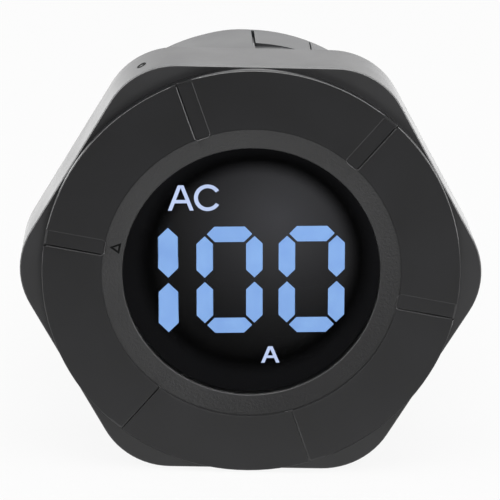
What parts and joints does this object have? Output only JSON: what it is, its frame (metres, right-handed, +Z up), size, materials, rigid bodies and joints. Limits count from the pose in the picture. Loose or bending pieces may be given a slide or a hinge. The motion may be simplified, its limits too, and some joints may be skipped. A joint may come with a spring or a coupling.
{
  "type": "digital panel ammeter",
  "caption": "Round-barrelled digital ammeter for a 22 mm panel hole, with a hexagonal head, lit digits, a lock nut and rear screw terminals.",
  "frame": {"origin": "on the barrel's axis, in the plane of the flange's rear face, where it meets the panel", "axes": "+Z up as the display is read, +Y along the barrel towards the terminals, +X to the reader's right"},
  "size_m": [0.033, 0.0427, 0.03],
  "materials": {
    "housing_plastic": "fine moulded grain",
    "bezel_plastic": "satin face, grained slope",
    "window_acrylic": "polished, smoked",
    "seal_rubber": "soft",
    "mask_film": "matt print",
    "segment_light": "lit pale blue",
    "segment_dark": "unlit diffuser",
    "reflector_plastic": "white moulding",
    "led_package": "pale package",
    "board_laminate": "solder mask over glass laminate",
    "chip_epoxy": "moulded epoxy",
    "burden_ceramic": "coated ceramic",
    "link_plastic": "moulded",
    "tinned_pin": "tinned",
    "film_cap_case": "moulded case",
    "can_sleeve": "shrunk sleeve",
    "resistor_coat": "lacquered",
    "block_plastic": "glass-filled moulding",
    "lug_brass": "stamped",
    "clamp_steel": "zinc plated",
    "screw_steel": "nickel plated",
    "socket_plastic": "natural nylon",
    "washer_steel": "zinc plated",
    "nut_plastic": "moulded"
  },
  "bodies": {
    "meter": {"front_housing": "housing_plastic", "bezel_ring": "bezel_plastic", "display_window": "window_acrylic", "window_seal": "seal_rubber", "panel_gasket": "seal_rubber", "display_mask": "mask_film", "lit_segments": "segment_light", "legend_light_bars": "segment_light", "unlit_segments": "segment_dark", "reflector_block": "reflector_plastic", "display_leds": "led_package", "display_board": "board_laminate", "main_board": "board_laminate", "display_driver_chip": "chip_epoxy", "meter_chip": "chip_epoxy", "bridge_rectifier": "chip_epoxy", "burden_resistor": "burden_ceramic", "link_strip": "link_plastic", "link_pins": "tinned_pin", "transformer_socket_pins": "tinned_pin", "fusible_resistor_leads": "tinned_pin", "film_capacitor": "film_cap_case", "smoothing_capacitor": "can_sleeve", "fusible_resistor": "resistor_coat", "terminal_block": "block_plastic", "terminal_lugs": "lug_brass", "transformer_socket": "socket_plastic"},
    "thrust_washer": {"thrust_washer": "washer_steel"},
    "lock_nut": {"lock_nut": "nut_plastic"},
    "clamp_left": {"clamp_washer_left": "clamp_steel"},
    "screw_left": {"terminal_screw_left": "screw_steel"},
    "clamp_right": {"clamp_washer_right": "clamp_steel"},
    "screw_right": {"terminal_screw_right": "screw_steel"}
  },
  "joints": [
    {"name": "nut_travel", "type": "slide", "parent": "meter", "child": "thrust_washer", "axis": [0, 1, 0], "range_m": [-0.00409, 0.01201]},
    {"name": "nut_turn", "type": "hinge", "parent": "thrust_washer", "child": "lock_nut", "pos_m": [0, 0, 0], "axis": [0, 1, 0], "range_deg": [-980, 2880]},
    {"name": "left_screw_travel", "type": "slide", "parent": "meter", "child": "clamp_left", "axis": [0, 1, 0], "range_m": [0, 0.0025]},
    {"name": "left_screw_turn", "type": "hinge", "parent": "clamp_left", "child": "screw_left", "pos_m": [-0.0048, 0, -0.0034], "axis": [0, 1, 0], "range_deg": [0, 1801]},
    {"name": "right_screw_travel", "type": "slide", "parent": "meter", "child": "clamp_right", "axis": [0, 1, 0], "range_m": [0, 0.0025]},
    {"name": "right_screw_turn", "type": "hinge", "parent": "clamp_right", "child": "screw_right", "pos_m": [0.0048, 0, -0.0034], "axis": [0, 1, 0], "range_deg": [0, 1801]}
  ],
  "couplings": [
    {"joint": "nut_travel", "follows": "nut_turn", "m_per_rad": 0.00023873},
    {"joint": "left_screw_turn", "follows": "left_screw_travel", "rad_per_m": 12566},
    {"joint": "right_screw_turn", "follows": "right_screw_travel", "rad_per_m": 12566}
  ]
}
